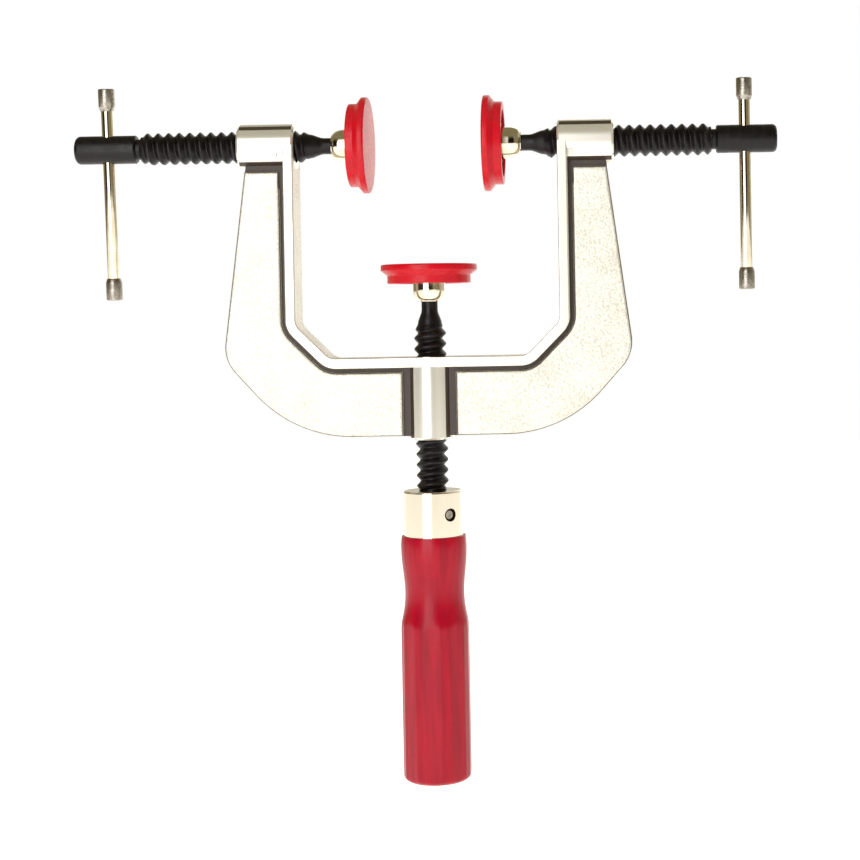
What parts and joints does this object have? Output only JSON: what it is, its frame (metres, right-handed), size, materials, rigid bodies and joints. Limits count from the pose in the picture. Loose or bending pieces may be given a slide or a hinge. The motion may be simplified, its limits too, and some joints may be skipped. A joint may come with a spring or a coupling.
{
  "type": "three-way edging clamp",
  "caption": "Hand clamp with a cast U-shaped frame, two opposed side screws with swivel pads and sliding bars, and a handled centre screw that presses on a board's edge.",
  "frame": {"origin": "crossing of the side screws' axis and the centre screw's axis, in the middle of the jaw gap", "axes": "+X from the left side screw to the right one, +Y from front to back, +Z along the centre screw's axis, away from the handle and towards the open side of the jaw"},
  "size_m": [0.2994, 0.041, 0.298],
  "materials": {
    "cast_frame": "cast, bright plated, sandy on the panels",
    "black_steel": "black oxide",
    "plated_steel": "nickel plated",
    "bar_cap": "plated, satin",
    "spring_wire": "drawn",
    "red_plastic": "moulded, semi-gloss",
    "lacquered_wood": "red lacquer"
  },
  "bodies": {
    "frame": {"frame": "cast_frame"},
    "left_ring": {"left_snap_ring": "spring_wire"},
    "left_spindle": {"left_screw": "black_steel"},
    "left_pad": {"left_pad_plate": "plated_steel", "left_pad_cap": "red_plastic"},
    "left_bar": {"left_tommy_bar": "plated_steel", "left_bar_upper_cap": "bar_cap", "left_bar_lower_cap": "bar_cap"},
    "right_ring": {"right_snap_ring": "spring_wire"},
    "right_spindle": {"right_screw": "black_steel"},
    "right_pad": {"right_pad_plate": "plated_steel", "right_pad_cap": "red_plastic"},
    "right_bar": {"right_tommy_bar": "plated_steel", "right_bar_upper_cap": "bar_cap", "right_bar_lower_cap": "bar_cap"},
    "centre_ring": {"centre_snap_ring": "spring_wire"},
    "centre_spindle": {"centre_screw": "black_steel", "ferrule": "plated_steel", "ferrule_pin": "plated_steel", "handle": "lacquered_wood"},
    "centre_pad": {"centre_pad_plate": "plated_steel", "centre_pad_cap": "red_plastic"}
  },
  "joints": [
    {"name": "left_travel", "type": "slide", "parent": "frame", "child": "left_ring", "axis": [1, 0, 0], "range_m": [-0.01485, 0.022]},
    {"name": "left_spin", "type": "hinge", "parent": "left_ring", "child": "left_spindle", "pos_m": [-0.03345, 0, 0], "axis": [1, 0, 0], "range_deg": [-1191, 1763]},
    {"name": "left_pad_tilt", "type": "hinge", "parent": "left_ring", "child": "left_pad", "pos_m": [-0.03345, 0, 0], "axis": [0, 1, 0], "range_deg": [-5, 5]},
    {"name": "left_bar_slide", "type": "slide", "parent": "left_spindle", "child": "left_bar", "axis": [0, -0.0872, 0.9962], "range_m": [-0.0103, 0.0487]},
    {"name": "right_travel", "type": "slide", "parent": "frame", "child": "right_ring", "axis": [-1, 0, 0], "range_m": [-0.01485, 0.022]},
    {"name": "right_spin", "type": "hinge", "parent": "right_ring", "child": "right_spindle", "pos_m": [0.03345, 0, 0], "axis": [-1, 0, 0], "range_deg": [-1191, 1763]},
    {"name": "right_pad_tilt", "type": "hinge", "parent": "right_ring", "child": "right_pad", "pos_m": [0.03345, 0, 0], "axis": [0, 1, 0], "range_deg": [-5, 5]},
    {"name": "right_bar_slide", "type": "slide", "parent": "right_spindle", "child": "right_bar", "axis": [0, -0.0349, 0.9994], "range_m": [-0.0103, 0.0487]},
    {"name": "centre_travel", "type": "slide", "parent": "frame", "child": "centre_ring", "axis": [0, 0, 1], "range_m": [-0.0225, 0.02025]},
    {"name": "centre_spin", "type": "hinge", "parent": "centre_ring", "child": "centre_spindle", "pos_m": [0, 0, -0.0602], "axis": [0, 0, 1], "range_deg": [-1803, 1623]},
    {"name": "centre_pad_tilt", "type": "hinge", "parent": "centre_ring", "child": "centre_pad", "pos_m": [0, 0, -0.0602], "axis": [0, 1, 0], "range_deg": [-5, 5]}
  ],
  "couplings": [
    {"joint": "left_spin", "follows": "left_travel", "rad_per_m": 1396.3},
    {"joint": "right_spin", "follows": "right_travel", "rad_per_m": 1396.3},
    {"joint": "centre_spin", "follows": "centre_travel", "rad_per_m": 1396.3}
  ]
}
